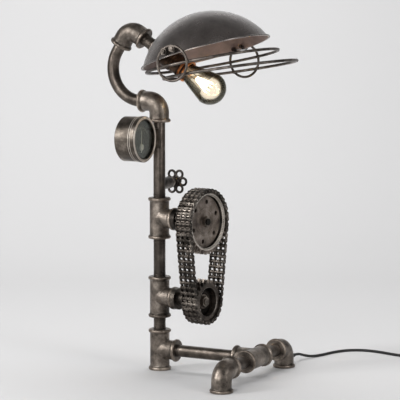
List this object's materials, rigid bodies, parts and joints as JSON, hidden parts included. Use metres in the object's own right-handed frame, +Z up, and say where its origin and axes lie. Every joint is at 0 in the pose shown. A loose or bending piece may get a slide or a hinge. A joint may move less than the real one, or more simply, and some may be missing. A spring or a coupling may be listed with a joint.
{
  "type": "industrial pipe table lamp with chain drive",
  "caption": "Table lamp of black pipe fittings with a chain drive, a pressure gauge, a handwheel switch and a domed steel shade with a wire guard.",
  "frame": {"origin": "on the table, on the axis of the post", "axes": "+X along the base pipe and the shade, +Y away from the gauge, +Z up"},
  "size_m": [0.6209, 0.5211, 0.6419],
  "materials": {
    "pipe_iron": "black malleable pipe and fittings, dark brown patina, slightly oiled",
    "foot_rubber": "matte black",
    "locknut_steel": "aged zinc",
    "shade_steel": "brushed galvanised outside, pale warm inside",
    "wire_iron": "dark oiled wire",
    "bolt_steel": "aged steel",
    "holder_copper": "aged copper",
    "holder_contacts": "plain metal",
    "bulb_glass": "clear warm glass",
    "filament_wire": "glowing wire",
    "gauge_black": "worn black enamel",
    "gauge_glass": "clear flat glass",
    "dial_enamel": "dark enamel with pale marks",
    "needle_paint": "pale enamel",
    "switch_iron": "dark patina",
    "dimmer_plastic": "moulded",
    "stem_steel": "turned",
    "wheel_bronze": "dark bronze casting",
    "axle_steel": "turned and darkened",
    "sprocket_iron": "aged iron, burnished teeth",
    "bush_bronze": "plain bearing bronze",
    "chain_steel": "oiled roller chain",
    "cord_black": "matte black",
    "pin_brass": "plain"
  },
  "bodies": {
    "stand": {"foot_tee": "pipe_iron", "foot_plugs": "foot_rubber", "base_pipe": "pipe_iron", "cross_tee": "pipe_iron", "base_nipples": "pipe_iron", "front_foot_elbow": "pipe_iron", "rear_foot_elbow": "pipe_iron", "post_nipple": "pipe_iron", "lower_drive_tee": "pipe_iron", "middle_pipe": "pipe_iron", "upper_drive_tee": "pipe_iron", "upper_pipe": "pipe_iron", "gauge_case": "gauge_black", "gauge_bezel": "gauge_black", "gauge_lens": "gauge_glass", "gauge_dial": "dial_enamel", "gauge_saddle": "gauge_black", "switch_body": "switch_iron", "switch_bonnet": "locknut_steel", "dimmer": "dimmer_plastic", "upper_axle": "axle_steel", "lower_axle": "axle_steel", "upper_axle_nut": "locknut_steel", "lower_axle_nut": "locknut_steel", "drive_chain": "chain_steel", "cord_gland": "cord_black", "cord_lead": "cord_black", "cord_coil": "cord_black", "cord_tail": "cord_black", "cord_tie": "dimmer_plastic", "plug_body": "cord_black", "plug_pins": "pin_brass"},
    "arm": {"post_elbow": "pipe_iron", "arm_pipe": "pipe_iron", "head_elbow": "pipe_iron"},
    "head": {"neck_pipe": "pipe_iron", "shade_locknuts": "locknut_steel", "shade_dome": "shade_steel", "guard_upper_ring": "wire_iron", "guard_lower_ring": "wire_iron", "guard_near_stirrup": "wire_iron", "guard_far_stirrup": "wire_iron", "guard_spacers": "bolt_steel", "guard_bolts": "bolt_steel", "holder_cap": "holder_copper", "holder_shell": "holder_copper", "holder_contact": "holder_contacts", "bulb_cap": "holder_contacts", "bulb_glass": "bulb_glass", "bulb_stem": "bulb_glass", "bulb_filament": "filament_wire"},
    "upper_drive": {"upper_sprocket": "sprocket_iron", "upper_bush": "bush_bronze"},
    "lower_drive": {"lower_sprocket": "sprocket_iron", "lower_bush": "bush_bronze"},
    "wheel": {"switch_stem": "stem_steel", "handwheel": "wheel_bronze", "handwheel_nut": "locknut_steel"},
    "needle": {"gauge_needle": "needle_paint"}
  },
  "joints": [
    {"name": "arm_swivel", "type": "hinge", "parent": "stand", "child": "arm", "pos_m": [0, 0, 0.445], "axis": [0, 0, 1], "range_deg": [-90, 90]},
    {"name": "head_roll", "type": "hinge", "parent": "arm", "child": "head", "pos_m": [-0.02809, 0, 0.5908], "axis": [0.8387, 0, -0.5446], "range_deg": [-30, 30]},
    {"name": "upper_wheel_spin", "type": "hinge", "parent": "stand", "child": "upper_drive", "pos_m": [0.09396, -0.01404, 0.27411], "axis": [0.989, -0.1478, 0], "continuous": true, "deforming": ["drive_chain"]},
    {"name": "lower_wheel_spin", "type": "hinge", "parent": "stand", "child": "lower_drive", "pos_m": [0.09396, -0.01404, 0.1324], "axis": [0.989, -0.1478, 0], "continuous": true},
    {"name": "handwheel_turn", "type": "hinge", "parent": "stand", "child": "wheel", "pos_m": [0, 0.06, 0.3345], "axis": [0, 1, 0], "range_deg": [0, 300]},
    {"name": "needle_sweep", "type": "hinge", "parent": "stand", "child": "needle", "pos_m": [-0.0064, -0.05265, 0.4035], "axis": [1, 0, 0], "range_deg": [-60, 60]}
  ],
  "couplings": [
    {"joint": "lower_wheel_spin", "follows": "upper_wheel_spin", "ratio": 1.5}
  ]
}
